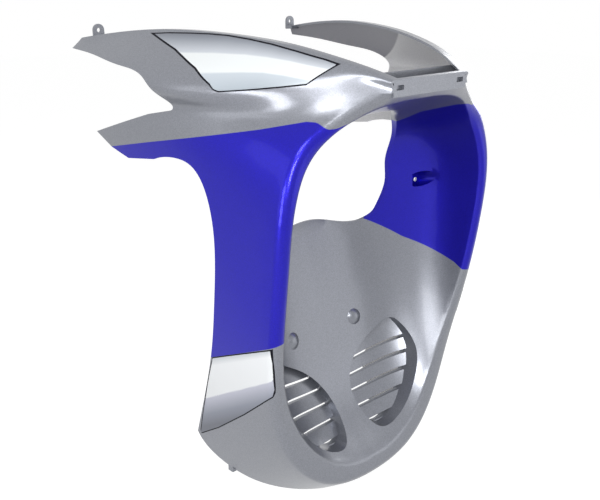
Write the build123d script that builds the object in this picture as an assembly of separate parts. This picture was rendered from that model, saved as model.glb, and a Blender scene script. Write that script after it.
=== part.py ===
from build123d import *
import math
import os

# Leg shield fairing of a small step-through motorcycle, one moulding.
# Frame: millimetres, +X to the rider's left, +Y to the rear, +Z up.
# The origin lies midway between the two pocket screws, on their seat.

# Moulding
WALL = 3.0
NOSE_RADIUS_OUTSIDE = 10.5
NOSE_RADIUS_BOWL = 7.0
NOSE_THICKNESS = 18.0
NOSE_TOP_Z = 147.0

# Outer skin
SIDE_HALF_WIDTH = 185.0
BELT_MIDDLE_Z = -33.0
CHIN_Z = -354.0
CHIN_Y = -73.0
CHIN_FALL = 0.72
CORNER_POWER = 2.5
CORNER_STEPS = 5
FLUTE_Z = 126.0
SHOULDER_Z = 107.0
COLUMN_TOP_Z = 52.0
TOP_FLANGE = 11.0
WING_BULGE = 2.0
# Each row: y, then how far in from the side half width these lie, with z where
# it varies: top edge and z, crease and z, flute, shoulder, column
SKIN_STATIONS = [
    (-150, 133, 151, 131, 144, 123, 85, 15),
    (-125, 120.5, 161, 117, 149, 95, 60, 10),
    (-95, 105, 172.5, 87, 153, 67, 42, 7),
    (-65, 91, 181.5, 57, 152, 47, 29, 5),
    (-25, 78, 190.5, 27, 150, 30, 17, 3),
    (15, 65, 196.5, 5, 148, 15, 8, 1),
    (60, 52, 200.5, -12, 147, 3, 1, -1),
    (105, 40, 202.5, -19, 148, -2, -2, -2),
    (160, 28.5, 201.5, -21.5, 150, -4, -3.5, -3),
    (220, 17.5, 196, -22, 152, -5, -4, -3),
    (300, 5, 184, -21, 153, -5, -4, -3),
]

# Front bowl: y, how far in from the nose, ceiling z, floor above the chin
BOWL_STATIONS = [
    (-165, 0, 139, 18),
    (-128, 0, 139, 16),
    (-92, 0, 125.5, 15),
    (-75, 0.5, 119, 16),
    (-45, 5, 108, 41),
    (-15, 17, 97, 73),
    (10, 35, 81, 111),
    (35, 61, 60, 186),
    (53, 91, 35, 248),
    (63, 118, 17, 293),
]
BOWL_FRONT_Y = -92.0
BOWL_STEPS = 24
CEILING_POWER = 3.0

# Nose line in side view, y and z, top to bottom
NOSE_LINE = [
    (-160, 180),
    (-128, 146),
    (-108, 123),
    (-95, 98),
    (-92, 57),
    (-85, -52),
    (-70, -150),
    (-60, -223),
    (-63, CHIN_Z + 52),
    (-71, CHIN_Z),
    (-81, CHIN_Z - 46),
]

# Bridge between the wings
BRIDGE_FRONT_Y = -128.0
BRIDGE_TROUGH = 22.0
BRIDGE_RIB_RISE = 6.0
BRIDGE_END_MARGIN = 1.0
END_BOX_LENGTH = 21.0
END_BOX_DEPTH = 7.0
END_RECESS_DEPTH = 4.0
END_RECESS_BORDER = 4.6

# Side view of the rear edges, y and z
WING_TIP = [(256, 237), (287, 175)]
NOTCH_UPPER = [(287, 175), (231, 171), (170, 163.5), (106, 148.5), (90, 130), (87, 123), (96, 117)]
NOTCH_LOWER = [(96, 117), (131, 110), (248, 75)]
PRONG_END = [(248, 75), (215, 60), (179, 51), (125, 58)]
COLUMN_REAR = [
    (125, 58),
    (80, 66),
    (54, 61),
    (26, 18),
    (19, -24),
    (23, -88),
    (34, -148),
    (56, -212),
    (99, -303),
]
CHIN_REAR = [
    (99, -303),
    (86, -328),
    (72, -340),
    (48, -355),
    (26, -364),
    (3, -368),
    (-25, -369),
    (-80, -371),
]
COLUMN_DEPTH = 45.0
CHIN_CUT_TOP = (80, -240)

# Opening above the engine, x and z of its right half, top to bottom
OPENING = [(0, 114), (48, 107), (74, 95), (106, 61), (113, 26), (117, -2), (109, -36), (90, -55)]
OPENING_FOOT = [(90, -55), (58, -54), (0, -43)]
OPENING_CORNER = (-1, -0.4)
OPENING_FRONT_Y = -70.0
OPENING_REAR_Y = 90.0

# Pocket screws
POCKET_INSET = 40.0
POCKET_RADIUS = 10.0
POCKET_TILT = 14.0
POCKET_LENGTH = 60.0
POCKET_HOLE_RADIUS = 3.0

# Domes on the bowl
DOME_X = 57.5
DOME_ABOVE_CHIN = 170.0
DOME_RADIUS = 11.0
DOME_HEIGHT = 4.5

# Louvred vents, outline about their middle
VENT_X = 75.0
VENT_ABOVE_CHIN = 100.0
VENT_OUTLINE = [
    (40, 57),
    (48, 29),
    (38, -4),
    (16, -35),
    (-15, -57),
    (-42, -60),
    (-56, -38),
    (-52, -6),
    (-24, 27),
    (13, 51),
]
VENT_WALL = 3.0
VENT_DEPTH = 13.0
LOUVRE_TOP = 16.0
LOUVRE_PITCH = 17.5
LOUVRE_COUNT = 5
LOUVRE_RISE = 0.13
LOUVRE_BEND = 0.0018
LOUVRE_BEND_X = 50.0
LOUVRE_SLOT = 5.0
LOUVRE_WALL = 2.5
LOUVRE_RECESS = 7.0
LOUVRE_TILT = 5.0

# Rear screw tabs, at the inner edge of the top flange
TAB_Y = 268.0
TAB_RISE = 7.7
TAB_RADIUS = 7.5
TAB_HOLE_RADIUS = 2.75
TAB_FOOT_LENGTH = 14.0

# Small lug on the lower rear edge of each side
LUG_X = 136.5
LUG_Y = 60.0
LUG_WIDTH = 7.0
LUG_LENGTH = 9.0
LUG_LOW_Z = -356.0
LUG_HIGH_Z = -338.0

# Larger than the part, for cuts that run right through
FAR = 300.0


def corner_curve(half_width, height, angle, power):
    """Point of a rounded-corner quarter, out and along its height."""
    out = half_width * abs(math.cos(angle)) ** (2 / power)
    along = height * abs(math.sin(angle)) ** (2 / power)
    return out, along


def skin_points(row):
    """Right half of the skin's outline at one station, top edge to chin."""
    y, top, top_z, crease, crease_z, flute, shoulder, column = row
    chin = CHIN_Z - CHIN_FALL * (y - CHIN_Y)
    slope = ((top + crease) / 2 - WING_BULGE, (top_z + crease_z) / 2 + WING_BULGE)
    insets = [(top, top_z), slope, (crease, crease_z)]
    insets += [(flute, FLUTE_Z), (shoulder, SHOULDER_Z), (column, COLUMN_TOP_Z)]
    points = [(SIDE_HALF_WIDTH - inset, z) for inset, z in insets]
    for step in range(CORNER_STEPS):
        angle = math.radians(90 * step / CORNER_STEPS)
        out, down = corner_curve(SIDE_HALF_WIDTH, BELT_MIDDLE_Z - chin, angle, CORNER_POWER)
        points.append((out, BELT_MIDDLE_Z - down))
    return points, (0, chin)


def top_edge(y):
    """Place of the wing's top edge at a station."""
    for front, rear in zip(SKIN_STATIONS, SKIN_STATIONS[1:]):
        share = (y - front[0]) / (rear[0] - front[0])
        if share <= 1:
            break
    inset = front[1] + share * (rear[1] - front[1])
    z = front[2] + share * (rear[2] - front[2])
    return SIDE_HALF_WIDTH - inset, z


def mirrored(points):
    return [(-x, z) for x, z in reversed(points)]


def shifted(chain, depth):
    """The inner points of a clockwise chain, moved inwards by a depth."""
    moved = []
    for before, point, after in zip(chain, chain[1:], chain[2:]):
        length = math.dist(before, after)
        along = ((after[0] - before[0]) / length, (after[1] - before[1]) / length)
        moved.append((point[0] + along[1] * depth, point[1] - along[0] * depth))
    return moved


def at_station(y, edges):
    return Plane.XZ.offset(-y) * make_face(edges)


def pacing(chains):
    """Shares of the way along, averaged over chains of points, for all their curves alike."""
    rows = []
    for chain in chains:
        reach = [0.0]
        for before, after in zip(chain, chain[1:]):
            reach.append(reach[-1] + math.dist(before, after))
        rows.append([length / reach[-1] for length in reach])
    return [sum(shares) / len(rows) for shares in zip(*rows)]


def skin_loft(depth):
    """Space inside the outer skin, moved inwards by a depth, with its top edge that much lower."""
    chains = []
    for row in SKIN_STATIONS:
        points, chin = skin_points(row)
        moved = shifted(points[:1] + points + [chin], depth)
        start_z = points[0][1] - depth
        run = (moved[1][0] - moved[0][0]) / (moved[1][1] - moved[0][1])
        moved[0] = (moved[0][0] + run * (start_z - moved[0][1]), start_z)
        chains.append(moved + [(0, chin[1] + depth)] + mirrored(moved))
    pace = pacing(chains)
    sections = []
    for row, chain in zip(SKIN_STATIONS, chains):
        outline = Edge.make_spline(chain, parameters=pace)
        sections.append(at_station(row[0], [outline, Line(chain[-1], chain[0])]))
    return loft(sections)


def mouth_solid():
    """Opening between the two top flanges."""
    sections = []
    for row in SKIN_STATIONS:
        x, z = top_edge(row[0])
        face = Pos(0, z) * Rectangle(2 * (x - TOP_FLANGE), 3 * WALL)
        sections.append(at_station(row[0], face))
    return loft(sections)


def bowl_outline(half_width, ceiling, floor):
    points = []
    for step in range(BOWL_STEPS):
        angle = math.radians(360 * step / BOWL_STEPS - 90)
        side = 1 if math.cos(angle) > 0 else -1
        if math.sin(angle) > 0:
            out, up = corner_curve(half_width, ceiling - BELT_MIDDLE_Z, angle, CEILING_POWER)
        else:
            out, up = corner_curve(half_width, floor - BELT_MIDDLE_Z, angle, CORNER_POWER)
        points.append((side * out, BELT_MIDDLE_Z + up))
    return points


def bowl_solid(grow):
    """Hollow ahead of the bowl's face, grown on all sides behind the nose."""
    outlines = []
    for y, inset, ceiling, rise in BOWL_STATIONS:
        half_width = SIDE_HALF_WIDTH - NOSE_THICKNESS - inset
        outlines.append(bowl_outline(half_width + grow, ceiling + grow, CHIN_Z + rise - grow))
    pace = pacing([outlines[0] + outlines[0][:1]])
    sections = []
    for row, outline in zip(BOWL_STATIONS, outlines):
        back = grow if row[0] > BOWL_FRONT_Y else 0
        curve = Edge.make_spline(outline, periodic=True, parameters=pace)
        sections.append(at_station(row[0] + back, curve))
    return loft(sections)


def nose_line(setback):
    return Spline([(y + setback, z) for y, z in NOSE_LINE])


def front_cut(setback):
    """All that lies ahead of the nose line, moved back by a setback."""
    nose = nose_line(setback)
    high = nose @ 0
    low = nose @ 1
    frame = Polyline(low, (-FAR, low.Y), (-FAR, high.Y), high)
    return along_x([nose, frame], -FAR, FAR)


def nose_edges(half, setback):
    """The long edges along the nose of a right half, the outside one first."""
    nose = nose_line(setback)
    found = []
    for edge in half.edges():
        places = [edge @ share for share in (0.1, 0.5, 0.9)]
        gaps = [nose.distance_to(Vector(place.Y, place.Z)) for place in places]
        if edge.length > SIDE_HALF_WIDTH and max(gaps) < 0.05:
            found.append(edge)
    return sorted(found, key=lambda edge: -edge.bounding_box().max.X)


def rounded_nose(half, setback, outside, bowl_side):
    """A right half with both corners of its nose rounded, up to the bridge."""
    below = block((-FAR, -FAR, -3 * FAR), (FAR, 2 * FAR, NOSE_TOP_Z))
    nose = half & below
    nose = nose.fillet(outside, nose_edges(nose, setback)[:1])
    nose = nose.fillet(bowl_side, nose_edges(nose, setback)[-1:])
    return nose + (half - below)


def block(low, high):
    """Box between two corners."""
    size = [b - a for a, b in zip(low, high)]
    middle = [(a + b) / 2 for a, b in zip(low, high)]
    return Pos(*middle) * Box(*size)


def along_x(outline, low, high):
    """Side-view outline drawn out across the part."""
    return extrude(Plane.YZ.offset(low) * make_face(outline), high - low)


def along_y(face, front, rear):
    """Front-view face drawn out front to rear."""
    return extrude(Plane.XZ.offset(-front) * face, -(rear - front))


def shell_half(bowl):
    """Plain right half of the skin, nose and bowl, and the same half unhollowed."""
    right = block((0, -FAR, -3 * FAR), (FAR, 2 * FAR, FAR))
    body = (skin_loft(0) - front_cut(0) - bowl) & right
    body = rounded_nose(body, 0, NOSE_RADIUS_OUTSIDE, NOSE_RADIUS_BOWL)
    body -= block((-FAR, -2 * FAR, -FAR), (FAR, BRIDGE_FRONT_Y, FAR))
    space = (skin_loft(WALL) - front_cut(WALL) - bowl_solid(WALL)) & right
    space = rounded_nose(space, WALL, NOSE_RADIUS_OUTSIDE - WALL, NOSE_RADIUS_BOWL - WALL)
    mouth = mouth_solid() - block((-FAR, -2 * FAR, -FAR), (FAR, BRIDGE_FRONT_Y + WALL, FAR))
    return body - space - mouth, body


def bridge(body):
    """Front strip with its end box, and the rib behind it."""
    front = BRIDGE_FRONT_Y
    end, top = (place - BRIDGE_END_MARGIN for place in top_edge(front))
    low = BOWL_STATIONS[1][2] + WALL
    strip = block((0, front, low), (end, front + WALL, top))
    box_start = end - END_BOX_LENGTH
    strip += block((box_start, front, low), (end, front + END_BOX_DEPTH, top))
    border = END_RECESS_BORDER
    strip -= block(
        (box_start + border, front, low + border),
        (end - border, front + END_RECESS_DEPTH, top - border),
    )
    rib_front = front + BRIDGE_TROUGH
    rib_end = top_edge(rib_front)[0]
    rib_low = (0, rib_front, low - BRIDGE_TROUGH)
    rib = block(rib_low, (rib_end + TOP_FLANGE, rib_front + WALL, top + BRIDGE_RIB_RISE)) & body
    return strip + rib


def rear_cuts():
    """What lies behind the rear edges of the wing, prong, column and chin."""
    edges = [Line(*WING_TIP), Spline(NOTCH_UPPER), Polyline(*NOTCH_LOWER), Polyline(*PRONG_END)]
    edges.append(Spline(COLUMN_REAR))
    high = WING_TIP[0]
    low = COLUMN_REAR[-1]
    edges.append(Polyline(low, (2 * FAR, low[1]), (2 * FAR, high[1]), high))
    side = along_x(edges, SIDE_HALF_WIDTH - COLUMN_DEPTH, FAR)
    end = CHIN_REAR[-1]
    under = Polyline(end, (end[0], -3 * FAR), (2 * FAR, -3 * FAR), (2 * FAR, CHIN_CUT_TOP[1]))
    close = Polyline((2 * FAR, CHIN_CUT_TOP[1]), CHIN_CUT_TOP, CHIN_REAR[0])
    chin = along_x([Spline(CHIN_REAR), under, close], -FAR, FAR)
    return side, chin


def opening():
    side = Spline(OPENING, tangents=[(1, 0), OPENING_CORNER])
    foot = Spline(OPENING_FOOT, tangents=[OPENING_CORNER, (-1, 0)])
    middle = Line(OPENING_FOOT[-1], OPENING[0])
    return along_y(make_face([side, foot, middle]), OPENING_FRONT_Y, OPENING_REAR_Y)


def pocket(radius, seat):
    """Screw pocket of a radius, reaching forward from its seat."""
    place = Pos(SIDE_HALF_WIDTH - POCKET_INSET, seat, 0)
    trough = place * Rot(90 - POCKET_TILT, 0, 0) * Cylinder(radius, 2 * POCKET_LENGTH)
    return trough & block((0, seat - POCKET_LENGTH, -FAR), (FAR, seat, FAR))


def pocket_hole():
    place = Pos(SIDE_HALF_WIDTH - POCKET_INSET, 0, 0)
    return place * Rot(90, 0, 0) * Cylinder(POCKET_HOLE_RADIUS, 4 * POCKET_RADIUS)


def bowl_y(bowl, x, z):
    """How far back the bowl lies at a place in front view."""
    probe = Edge.make_line((x, BOWL_STATIONS[1][0], z), (x, FAR, z)) & bowl
    return max(point.Y for point in probe.vertices())


def bowl_normal(bowl, x, z, step):
    """Direction out of the bowl's face, towards the front."""
    across = bowl_y(bowl, x + step, z) - bowl_y(bowl, x - step, z)
    up = bowl_y(bowl, x, z + step) - bowl_y(bowl, x, z - step)
    return Vector(across / (2 * step), -1, up / (2 * step)).normalized()


def dome(bowl):
    """Round bump on the bowl, and the hollow behind it."""
    radius = (DOME_RADIUS**2 + DOME_HEIGHT**2) / (2 * DOME_HEIGHT)
    z = CHIN_Z + DOME_ABOVE_CHIN
    surface = Vector(DOME_X, bowl_y(bowl, DOME_X, z), z)
    normal = bowl_normal(bowl, DOME_X, z, DOME_RADIUS / 2)
    place = Pos(*(surface - normal * (radius - DOME_HEIGHT)))
    return (place * Sphere(radius)) & bowl, place * Sphere(radius - WALL)


def louvre_z(line, x):
    """Height of the middle of a slot, counted from the top one."""
    top = CHIN_Z + VENT_ABOVE_CHIN + LOUVRE_TOP
    rise = LOUVRE_RISE * (x - VENT_X) + LOUVRE_BEND * (x - LOUVRE_BEND_X) ** 2
    return top - LOUVRE_PITCH * line + rise


def louvre_band(line):
    """Front view of the blade between a slot and the next, open-ended at the ends."""
    above = FAR / 2 if line < 0 else -LOUVRE_SLOT / 2
    below = -FAR / 2 if line == LOUVRE_COUNT - 1 else LOUVRE_SLOT / 2
    across = (0, LOUVRE_BEND_X, 2 * LOUVRE_BEND_X, SIDE_HALF_WIDTH)
    top = Spline([(x, louvre_z(line, x) + above) for x in across])
    foot = Spline([(x, louvre_z(line + 1, x) + below) for x in across])
    return make_face([top, Line(top @ 1, foot @ 1), foot, Line(foot @ 0, top @ 0)])


def vent_face(grow):
    """Front view of a vent, grown on all sides."""
    middle_z = CHIN_Z + VENT_ABOVE_CHIN
    points = [(VENT_X + x, middle_z + z) for x, z in VENT_OUTLINE]
    return make_face(Spline(shifted(points[-1:] + points + points[:1], -grow), periodic=True))


def vent(bowl):
    """Cut for one vent, and its wall with the louvre blades."""
    front = BOWL_STATIONS[2][0]
    rear = BOWL_STATIONS[-1][0]
    mouth = along_y(vent_face(0), front, rear)
    wall = along_y(vent_face(VENT_WALL), front, rear) - mouth
    wall = (wall & bowl_solid(VENT_DEPTH)) - bowl
    field = vent_face(VENT_WALL / 2)
    low = field.bounding_box().min.Y
    blade_front = bowl_solid(LOUVRE_RECESS)
    blade_rear = bowl_solid(LOUVRE_RECESS + LOUVRE_WALL)
    for line in range(-1, LOUVRE_COUNT):
        blade = along_y(field & louvre_band(line), front, rear)
        lip_z = louvre_z(line + 1, VENT_X)
        lip_y = bowl_y(bowl, VENT_X, max(lip_z, low))
        lip = Pos(0, lip_y, lip_z)
        turn = lip * Rot(-LOUVRE_TILT, 0, 0) * lip.inverse()
        wall += (blade & (turn * blade_rear)) - turn * blade_front
    return mouth, wall


def rear_tab():
    """Upright ear with a screw hole, on a foot that lies on the flange."""
    edge_x, edge_z = top_edge(TAB_Y)
    place = Pos(edge_x - TOP_FLANGE, TAB_Y, edge_z + TAB_RISE) * Rot(90, 0, 0)
    left = edge_x - TOP_FLANGE - TAB_RADIUS
    right = edge_x - TOP_FLANGE + TAB_RADIUS
    front = TAB_Y - WALL / 2
    rear = TAB_Y + WALL / 2
    ear = place * Cylinder(TAB_RADIUS, WALL)
    ear += block((left, front, edge_z - WALL), (right, rear, edge_z + TAB_RISE))
    foot = block((left, rear - TAB_FOOT_LENGTH, edge_z - WALL), (right, rear, edge_z + WALL / 2))
    return ear + foot - place * Cylinder(TAB_HOLE_RADIUS, 2 * WALL)


def lug():
    low = (LUG_X - LUG_WIDTH / 2, LUG_Y - LUG_LENGTH / 2, LUG_LOW_Z)
    return block(low, (LUG_X + LUG_WIDTH / 2, LUG_Y + LUG_LENGTH / 2, LUG_HIGH_Z))


def leg_shield():
    bowl = bowl_solid(0)
    half, body = shell_half(bowl)
    half += bridge(body)
    for cut in rear_cuts():
        half -= cut
    half -= opening()
    half += (pocket(POCKET_RADIUS + WALL, WALL) - bowl) & body
    half -= pocket(POCKET_RADIUS, 0)
    half -= pocket_hole()
    bump, dent = dome(bowl)
    half = half + bump - dent
    mouth, wall = vent(bowl)
    half = half - mouth + wall
    half += rear_tab()
    half += lug()
    return half + mirror(half, about=Plane.YZ)


os.makedirs("parts", exist_ok=True)
export_step(leg_shield(), "parts/leg_shield.step")
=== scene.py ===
import math

import bmesh
import bpy
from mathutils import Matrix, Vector
from mathutils.bvhtree import BVHTree


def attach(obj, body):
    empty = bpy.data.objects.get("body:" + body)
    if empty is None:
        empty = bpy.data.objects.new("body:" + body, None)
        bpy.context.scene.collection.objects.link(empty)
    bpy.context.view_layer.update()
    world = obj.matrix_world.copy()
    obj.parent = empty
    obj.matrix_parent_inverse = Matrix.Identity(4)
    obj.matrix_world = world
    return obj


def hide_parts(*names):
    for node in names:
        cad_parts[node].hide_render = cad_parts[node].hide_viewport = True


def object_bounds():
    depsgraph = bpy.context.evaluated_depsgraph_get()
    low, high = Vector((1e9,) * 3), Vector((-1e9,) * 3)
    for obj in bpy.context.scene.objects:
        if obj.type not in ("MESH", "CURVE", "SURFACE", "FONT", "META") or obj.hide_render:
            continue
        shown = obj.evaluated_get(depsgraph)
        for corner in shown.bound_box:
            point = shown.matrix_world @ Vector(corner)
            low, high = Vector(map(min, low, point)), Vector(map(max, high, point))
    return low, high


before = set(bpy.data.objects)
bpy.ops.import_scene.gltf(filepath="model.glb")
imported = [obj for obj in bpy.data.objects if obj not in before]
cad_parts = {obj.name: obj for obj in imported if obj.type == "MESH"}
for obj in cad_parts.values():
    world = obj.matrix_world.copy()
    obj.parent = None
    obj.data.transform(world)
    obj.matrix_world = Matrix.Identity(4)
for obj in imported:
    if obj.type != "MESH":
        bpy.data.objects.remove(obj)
cad_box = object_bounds()

# Lengths are in millimetres in the part's own frame, and METRE turns them into the scene's.
METRE = 0.001

# Light: the room all round, and what the floor adds where it is seen. The floor's sizes are in metres.
ROOM_LIGHT = 0.35
FLOOR_GLOW = 0.89
FLOOR_GREY = (0.3, 0.3, 0.3, 1)
FLOOR_HALF_SIZE = 6.0
FLOOR_GAP = 0.0005

# Lamps: name, place and aim, width and height, all in metres, and power in watts
LAMPS = [
    ("flash", (-0.66, -0.72, 0.36), (0.05, 0, -0.1), 0.25, 0.25, 4.2),
    ("window", (-1.35, -0.35, 0.1), (0, -0.05, -0.1), 0.5, 0.6, 6.5),
    ("ceiling", (-0.74, -0.58, 0.96), (-0.05, 0, 0), 0.4, 0.4, 5),
    ("side_window", (-1.6, 0.5, 0.5), (0, 0, 0), 0.5, 1.4, 2),
    ("front", (0.8, -1.0, 0.0), (0, 0, -0.1), 0.9, 0.9, 2),
    ("far_side", (1.3, 0.1, 0.4), (0, 0, -0.1), 0.8, 0.8, 7),
]

# Camera
CAMERA_PLACE = (-700, -655, 257)
CAMERA_FORWARD = (0.6559, 0.6833, -0.3209)
CAMERA_LENS = 48.0
SENSOR_WIDTH = 36.0

# Mending of the mesh: points closer than WELD are one, and edges shorter than SLIVER go
WELD = 0.002
SLIVER = 0.001

# Where paint ends: faces that meet at less than SURFACE_ANGLE belong to one surface,
# which is grown from points on it. Edges past SHARP_ANGLE are shaded sharp.
SURFACE_ANGLE = 50.0
SHARP_ANGLE = 32.0
PAINTED_SEEDS = [(186, -20, -20), (-186, -20, -20)]
BARE_SEEDS = [(182, -20, -20), (180, 60, 150), (150, 120, 180), (0, 40, -180), (150, 0, -280)]

# The belt's middle, about which outside and bowl are told apart, and how far they blend on the nose
BELT_MIDDLE_Z = -33.0
SIDE_HALF_WIDTH = 185.0
BOWL_REAR_X = 138.0
NOSE_BLEND = 0.9

# Paint and bare plastic: colours, and the size and range of their flakes or grain
BLUE = (0.013, 0.009, 0.38, 1)
SILVER = (0.235, 0.245, 0.275, 1)
FLAKE = (0.7, 0.87, 1.13)
# Paler grey for the inside of the front of the wings, ahead of a straight edge
PALE_FRONT_GREY = (0.8, 0.8, 0.81, 1)
PLASTIC_GREY = (0.27, 0.27, 0.31, 1)
GRAIN = (1.0, 0.88, 1.0)

# Edge of the paler grey inside the front of the wings: y plus a share of z, and half the edge's width
PALE_FRONT_SLOPE = 2.1
PALE_FRONT_EDGE = 425.0
PALE_FRONT_BLUR = 2.0

# Edges of the blue band, y and z: on the outside of the part and in the bowl, and half an edge's width
BAND_BLUR = 0.3
BAND_TOP_OUTSIDE = [
    (-125, 96), (-105, 109), (-95.5, 115.7), (-90.5, 118.5), (-86.5, 120), (-77, 120.3),
    (-34, 110), (42, 95), (131, 77.5), (207, 62), (300, 43),
]
BAND_TOP_BOWL = [(-140, 121), (-95, 116), (-80, 112), (-52, 104), (-25, 92.5), (70, 52)]
BAND_FOOT_OUTSIDE = [(-100, -106), (-71, -119.5), (-19.5, -143), (37, -168.5), (120, -207)]
BAND_FOOT_BOWL = [(-100, -116), (-72, -116), (-60, -108.5), (-40, -100), (8, -80), (42, -56), (80, -30)]

# Decals on each side: y and z along their upper and lower edges, front to rear
WING_DECAL_TOP = [
    (-81, 174.6), (-67, 178.8), (-36, 185.8), (-4.5, 192.1), (22, 196.1),
    (49, 199), (72, 200), (97, 200.1), (127, 199.5), (158, 197.7),
]
WING_DECAL_FOOT = [
    (-81, 174.6), (-66, 154.8), (-45, 151.7), (-20, 148.4), (11, 145.1),
    (17, 147), (23, 151.9), (52, 165.8), (100, 182.3), (158, 197.7),
]
FOOT_DECAL_TOP = [(-71, -120.5), (-19.5, -143.1), (37, -168.5), (50, -199), (68, -243), (93, -300)]
FOOT_DECAL_FOOT = [
    (-71, -120.5), (-70, -130), (-68, -151), (-66, -165), (-64, -179),
    (-61, -186.5), (-41, -203.6), (-6, -233.2), (52, -278.2), (93, -305.5),
]

# Edges of the white on each decal, y and z, and the height that the foot decal's shade takes below it
WING_WHITE_TOP = [(-72, 170.2), (-37, 176.4), (-13, 179.2), (12, 181), (47, 181.3), (84, 180.2)]
WING_WHITE_FOOT = [(-64, 159.9), (-43, 163.4), (-22, 165.4), (0, 165), (22, 163.7)]
FOOT_WHITE_TOP = [(-71, -120.5), (37, -168.5)]
FOOT_WHITE_FOOT = [(-71, -160), (93, -255)]
FOOT_SHADE_HEIGHT = 60.0

# Films: where the white starts on a film's scale and how much of the scale it takes, and the colours on it
WING_WHITE = (0.35, 0.25)
FOOT_WHITE = (0.67, 0.33)
WING_FILM = [
    (0.0, (0.30, 0.34, 0.38)),
    (0.33, (0.51, 0.56, 0.61)),
    (0.36, (0.74, 0.77, 0.78)),
    (0.59, (0.74, 0.77, 0.78)),
    (0.61, (0.54, 0.57, 0.62)),
    (0.77, (0.24, 0.26, 0.30)),
    (0.87, (0.09, 0.095, 0.12)),
]
FOOT_FILM = [
    (0.0, (0.12, 0.13, 0.165)),
    (0.30, (0.24, 0.26, 0.32)),
    (0.66, (0.52, 0.53, 0.62)),
    (0.68, (0.83, 0.85, 0.87)),
    (0.93, (0.83, 0.85, 0.87)),
    (1.0, (0.50, 0.53, 0.57)),
]
OUTLINE_BLACK = (0.006, 0.006, 0.01, 1)

# Decal meshes: width of the outline, spacing and count of points, height over the skin,
# and how far out the rays start that find the skin
DECAL_OUTLINE = 1.4
DECAL_STEP = 1.5
DECAL_ROWS = 24
DECAL_LIFT = 0.2
RAY_START_X = 400.0


def blend(points, place):
    """Value at a place on a line through points, carried on straight past its ends."""
    for (a, low), (b, high) in zip(points, points[1:]):
        if place <= b:
            break
    return low + (high - low) * (place - a) / (b - a)


def camera():
    """Camera at the photograph's place."""
    data = bpy.data.cameras.new("camera")
    data.lens = CAMERA_LENS
    data.sensor_width = SENSOR_WIDTH
    data.sensor_fit = "HORIZONTAL"
    thing = bpy.data.objects.new("camera", data)
    thing.location = Vector(CAMERA_PLACE) * METRE
    thing.rotation_euler = Vector(CAMERA_FORWARD).to_track_quat("-Z", "Y").to_euler()
    bpy.context.scene.collection.objects.link(thing)
    bpy.context.scene.camera = thing


def flood(mesh, tree, seeds):
    """Faces reached from the ones nearest the seeds without crossing a sharp edge."""
    limit = math.radians(SURFACE_ANGLE)
    todo = []
    for seed in seeds:
        todo.append(mesh.faces[tree.find_nearest(Vector(seed) * METRE)[2]])
    found = set(todo)
    while todo:
        face = todo.pop()
        for edge in face.edges:
            if len(edge.link_faces) != 2 or edge.calc_face_angle(math.pi) > limit:
                continue
            for other in edge.link_faces:
                if other not in found:
                    found.add(other)
                    todo.append(other)
    return found


def bowl_share(place, normal):
    """1 in the bowl, 0 on the outside, blending over the nose."""
    if place.y > 0:
        return 1.0 if abs(place.x) < BOWL_REAR_X else 0.0
    out = Vector((place.x, 0, place.z - BELT_MIDDLE_Z)).normalized()
    return min(1, max(0, 0.5 - normal.dot(out) / NOSE_BLEND))


def shield():
    """Copy of the moulding with its surfaces sorted into paint and bare plastic."""
    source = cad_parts["leg_shield"]
    mesh = bmesh.new()
    mesh.from_mesh(source.data)
    bmesh.ops.remove_doubles(mesh, verts=mesh.verts, dist=WELD * METRE)
    bmesh.ops.dissolve_degenerate(mesh, edges=mesh.edges, dist=SLIVER * METRE)
    mesh.faces.ensure_lookup_table()
    mesh.normal_update()
    tree = BVHTree.FromBMesh(mesh)
    painted = flood(mesh, tree, PAINTED_SEEDS)
    bare = flood(mesh, tree, BARE_SEEDS) - painted
    for face in mesh.faces:
        face.smooth = True
        face.material_index = 1 if face in bare else 0
    limit = math.radians(SHARP_ANGLE)
    for edge in mesh.edges:
        edge.smooth = edge.calc_face_angle(math.pi) < limit
    top = mesh.verts.layers.float.new("above_band")
    foot = mesh.verts.layers.float.new("below_band")
    for vertex in mesh.verts:
        place = vertex.co / METRE
        share = bowl_share(place, vertex.normal)
        upper = blend(BAND_TOP_OUTSIDE, place.y) * (1 - share) + blend(BAND_TOP_BOWL, place.y) * share
        lower = blend(BAND_FOOT_OUTSIDE, place.y) * (1 - share) + blend(BAND_FOOT_BOWL, place.y) * share
        vertex[top] = place.z - upper
        vertex[foot] = lower - place.z
    data = bpy.data.meshes.new("shield")
    mesh.to_mesh(data)
    mesh.free()
    thing = bpy.data.objects.new("shield", data)
    bpy.context.scene.collection.objects.link(thing)
    return thing


def material(name):
    made = bpy.data.materials.new(name)
    made.use_nodes = True
    return made, made.node_tree.nodes, made.node_tree.links


def speckled(nodes, links, colour, size, low, high):
    """Colour times a speckle of flakes or grain, a factor from low to high."""
    place = nodes.new("ShaderNodeTexCoord")
    cells = nodes.new("ShaderNodeTexVoronoi")
    cells.inputs["Scale"].default_value = 1 / (size * METRE)
    links.new(place.outputs["Object"], cells.inputs["Vector"])
    bright = nodes.new("ShaderNodeSeparateColor")
    links.new(cells.outputs["Color"], bright.inputs["Color"])
    spread = nodes.new("ShaderNodeMapRange")
    spread.inputs["To Min"].default_value = low
    spread.inputs["To Max"].default_value = high
    links.new(bright.outputs["Red"], spread.inputs["Value"])
    product = nodes.new("ShaderNodeVectorMath")
    product.operation = "SCALE"
    links.new(colour.outputs["Result"], product.inputs[0])
    links.new(spread.outputs["Result"], product.inputs["Scale"])
    return product.outputs["Vector"]


def band_edge(nodes, links, name):
    """0 inside the blue band and 1 past one of its edges."""
    far = nodes.new("ShaderNodeAttribute")
    far.attribute_name = name
    step = nodes.new("ShaderNodeMapRange")
    step.inputs["From Min"].default_value = -BAND_BLUR
    step.inputs["From Max"].default_value = BAND_BLUR
    links.new(far.outputs["Fac"], step.inputs["Value"])
    return step.outputs["Result"]


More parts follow.
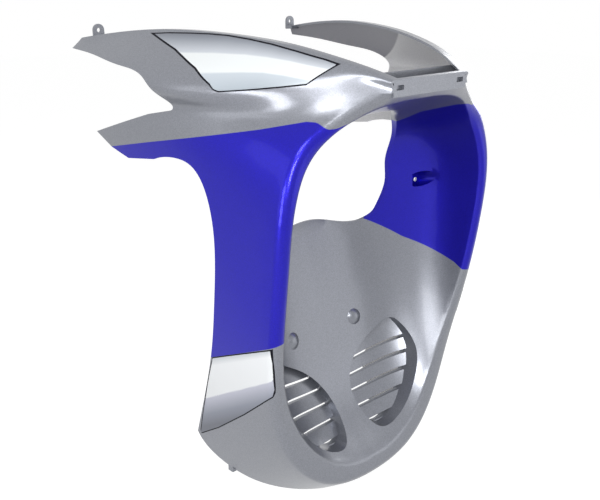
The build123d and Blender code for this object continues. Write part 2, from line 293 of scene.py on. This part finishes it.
def paint():
    """Metallic paint, blue in the band and silver past its edges."""
    made, nodes, links = material("metallic_paint")
    shader = nodes["Principled BSDF"]
    silver = nodes.new("ShaderNodeMath")
    silver.operation = "MAXIMUM"
    links.new(band_edge(nodes, links, "above_band"), silver.inputs[0])
    links.new(band_edge(nodes, links, "below_band"), silver.inputs[1])
    colour = nodes.new("ShaderNodeMix")
    colour.data_type = "RGBA"
    colour.inputs["A"].default_value = BLUE
    colour.inputs["B"].default_value = SILVER
    links.new(silver.outputs["Value"], colour.inputs["Factor"])
    links.new(speckled(nodes, links, colour, *FLAKE), shader.inputs["Base Color"])
    shader.inputs["Metallic"].default_value = 0.6
    shader.inputs["Roughness"].default_value = 0.3
    shader.inputs["Specular IOR Level"].default_value = 0.2
    shader.inputs["Coat Weight"].default_value = 0.2
    shader.inputs["Coat Roughness"].default_value = 0.06
    return made


def bare_plastic():
    """Grey plastic, paler inside the front of the wings, ahead of a straight edge."""
    made, nodes, links = material("bare_plastic")
    shader = nodes["Principled BSDF"]
    place = nodes.new("ShaderNodeTexCoord")
    along = nodes.new("ShaderNodeVectorMath")
    along.operation = "DOT_PRODUCT"
    along.inputs[1].default_value = (0, 1, PALE_FRONT_SLOPE)
    links.new(place.outputs["Object"], along.inputs[0])
    edge = nodes.new("ShaderNodeMapRange")
    edge.inputs["From Min"].default_value = (PALE_FRONT_EDGE - PALE_FRONT_BLUR) * METRE
    edge.inputs["From Max"].default_value = (PALE_FRONT_EDGE + PALE_FRONT_BLUR) * METRE
    links.new(along.outputs["Value"], edge.inputs["Value"])
    # Paler grey ahead of the edge inside the front of the wings, darker grey behind it
    colour = nodes.new("ShaderNodeMix")
    colour.data_type = "RGBA"
    colour.inputs["A"].default_value = PALE_FRONT_GREY
    colour.inputs["B"].default_value = PLASTIC_GREY
    links.new(edge.outputs["Result"], colour.inputs["Factor"])
    links.new(speckled(nodes, links, colour, *GRAIN), shader.inputs["Base Color"])
    shader.inputs["Roughness"].default_value = 0.45
    return made


def decal_edges(top, foot, margin):
    """Rows of y, lower z and upper z of a decal with a margin left out all round."""
    rows = []
    y = top[0][0]
    while y <= top[-1][0]:
        upper = blend(top, y)
        lower = blend(foot, y)
        if margin:
            ahead = y + DECAL_STEP / 2
            behind = y - DECAL_STEP / 2
            upper -= margin * math.hypot(1, (blend(top, ahead) - blend(top, behind)) / DECAL_STEP)
            lower += margin * math.hypot(1, (blend(foot, ahead) - blend(foot, behind)) / DECAL_STEP)
        if upper >= lower:
            rows.append((y, lower, upper))
        y += DECAL_STEP
    return rows


def decal(name, tree, side, rows, lift, height_of):
    """Thin film on the outside of one side, between two edges."""
    places = []
    heights = []
    for y, lower, upper in rows:
        for step in range(DECAL_ROWS + 1):
            z = lower + (upper - lower) * step / DECAL_ROWS
            start = Vector((side * RAY_START_X, y, z)) * METRE
            hit, normal, _, _ = tree.ray_cast(start, Vector((-side, 0, 0)))
            if hit is None:
                hit, normal, _, _ = tree.find_nearest(Vector((side * SIDE_HALF_WIDTH, y, z)) * METRE)
            places.append(hit + normal * lift * METRE)
            heights.append(height_of(y, z))
    faces = []
    stride = DECAL_ROWS + 1
    for row in range(len(rows) - 1):
        for step in range(DECAL_ROWS):
            first = row * stride + step
            corners = [first, first + stride, first + stride + 1, first + 1]
            faces.append(corners if side > 0 else corners[::-1])
    data = bpy.data.meshes.new(name)
    data.from_pydata(places, [], faces)
    layer = data.attributes.new("height", "FLOAT", "POINT")
    layer.data.foreach_set("value", heights)
    data.polygons.foreach_set("use_smooth", [True] * len(data.polygons))
    thing = bpy.data.objects.new(name, data)
    bpy.context.scene.collection.objects.link(thing)
    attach(thing, "root")
    return thing


def film(name, stops):
    """Glossy film whose grey follows the height on the decal."""
    made, nodes, links = material(name)
    shader = nodes["Principled BSDF"]
    height = nodes.new("ShaderNodeAttribute")
    height.attribute_name = "height"
    ramp = nodes.new("ShaderNodeValToRGB")
    keys = ramp.color_ramp.elements
    keys.remove(keys[1])
    for number, (place, colour) in enumerate(stops):
        key = keys[0] if number == 0 else keys.new(place)
        key.position = place
        key.color = colour + (1,)
    links.new(height.outputs["Fac"], ramp.inputs["Fac"])
    links.new(ramp.outputs["Color"], shader.inputs["Base Color"])
    shader.inputs["Roughness"].default_value = 0.3
    return made


def outline_film():
    made, nodes, _ = material("decal_outline")
    shader = nodes["Principled BSDF"]
    shader.inputs["Base Color"].default_value = OUTLINE_BLACK
    shader.inputs["Roughness"].default_value = 0.5
    shader.inputs["Specular IOR Level"].default_value = 0.1
    return made


def wing_height(y, z):
    """Place on the wing film's scale."""
    start, span = WING_WHITE
    low = blend(WING_WHITE_FOOT, y)
    return start + span * (z - low) / (blend(WING_WHITE_TOP, y) - low)


def foot_height(y, z):
    """Place on the foot film's scale."""
    start, span = FOOT_WHITE
    low = blend(FOOT_WHITE_FOOT, y)
    if z < low:
        return start - (low - z) / FOOT_SHADE_HEIGHT
    return start + span * (z - low) / (blend(FOOT_WHITE_TOP, y) - low)


def decals(body):
    """Outline and film on the wing and the foot of each side."""
    copy = bmesh.new()
    copy.from_mesh(body.data)
    tree = BVHTree.FromBMesh(copy)
    copy.free()
    black = outline_film()
    wing = film("wing_film", WING_FILM)
    foot = film("foot_film", FOOT_FILM)
    kinds = [
        ("wing", WING_DECAL_TOP, WING_DECAL_FOOT, wing, wing_height),
        ("foot", FOOT_DECAL_TOP, FOOT_DECAL_FOOT, foot, foot_height),
    ]
    for side, place in ((-1, "right"), (1, "left")):
        for kind, top, under, cover, height_of in kinds:
            outline = decal_edges(top, under, 0)
            inner = decal_edges(top, under, DECAL_OUTLINE)
            back = decal(f"{kind}_decal_outline_{place}", tree, side, outline, DECAL_LIFT, height_of)
            back.data.materials.append(black)
            face = decal(f"{kind}_decal_{place}", tree, side, inner, 2 * DECAL_LIFT, height_of)
            face.data.materials.append(cover)


def shown(nodes, links):
    """1 for what is seen straight, in a reflection or through glass, and 0 for other light."""
    path = nodes.new("ShaderNodeLightPath")
    mirrored = nodes.new("ShaderNodeMath")
    mirrored.operation = "MAXIMUM"
    links.new(path.outputs["Is Glossy Ray"], mirrored.inputs[0])
    links.new(path.outputs["Is Transmission Ray"], mirrored.inputs[1])
    total = nodes.new("ShaderNodeMath")
    total.operation = "MAXIMUM"
    links.new(mirrored.outputs["Value"], total.inputs[0])
    links.new(path.outputs["Is Camera Ray"], total.inputs[1])
    return total.outputs["Value"]


def floor():
    """Pale ground that glows white where it is seen and keeps the shadow."""
    size = FLOOR_HALF_SIZE
    low = cad_box[0].z - FLOOR_GAP
    data = bpy.data.meshes.new("floor")
    corners = [(-size, -size, low), (size, -size, low), (size, size, low), (-size, size, low)]
    data.from_pydata(corners, [], [(0, 1, 2, 3)])
    thing = bpy.data.objects.new("floor", data)
    made, nodes, links = material("floor")
    shader = nodes["Principled BSDF"]
    shader.inputs["Base Color"].default_value = FLOOR_GREY
    shader.inputs["Roughness"].default_value = 0.9
    shader.inputs["Specular IOR Level"].default_value = 0.0
    shader.inputs["Emission Color"].default_value = (1, 1, 1, 1)
    glow = nodes.new("ShaderNodeMath")
    glow.operation = "MULTIPLY"
    glow.inputs[1].default_value = FLOOR_GLOW
    links.new(shown(nodes, links), glow.inputs[0])
    links.new(glow.outputs["Value"], shader.inputs["Emission Strength"])
    data.materials.append(made)
    bpy.context.scene.collection.objects.link(thing)


def softbox(name, place, aim, width, height, power):
    """Area lamp pointed at its aim."""
    data = bpy.data.lights.new(name, "AREA")
    data.shape = "RECTANGLE"
    data.size = width
    data.size_y = height
    data.energy = power
    thing = bpy.data.objects.new(name, data)
    thing.location = place
    thing.rotation_euler = (Vector(aim) - Vector(place)).to_track_quat("-Z", "Y").to_euler()
    bpy.context.scene.collection.objects.link(thing)


def surroundings():
    """White where it is seen or mirrored, and a dimmer room as light."""
    world = bpy.data.worlds.new("world")
    bpy.context.scene.world = world
    world.use_nodes = True
    nodes = world.node_tree.nodes
    links = world.node_tree.links
    room = nodes["Background"]
    room.inputs["Color"].default_value = (1, 1, 1, 1)
    room.inputs["Strength"].default_value = ROOM_LIGHT
    white = nodes.new("ShaderNodeBackground")
    white.inputs["Color"].default_value = (1, 1, 1, 1)
    white.inputs["Strength"].default_value = 1.0
    mix = nodes.new("ShaderNodeMixShader")
    links.new(shown(nodes, links), mix.inputs["Fac"])
    links.new(room.outputs["Background"], mix.inputs[1])
    links.new(white.outputs["Background"], mix.inputs[2])
    links.new(mix.outputs["Shader"], nodes["World Output"].inputs["Surface"])


camera()
body = shield()
body.data.materials.append(paint())
body.data.materials.append(bare_plastic())
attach(body, "root")
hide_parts("leg_shield")
decals(body)
floor()
surroundings()
for lamp in LAMPS:
    softbox(*lamp)
bpy.context.scene.view_settings.view_transform = "Standard"
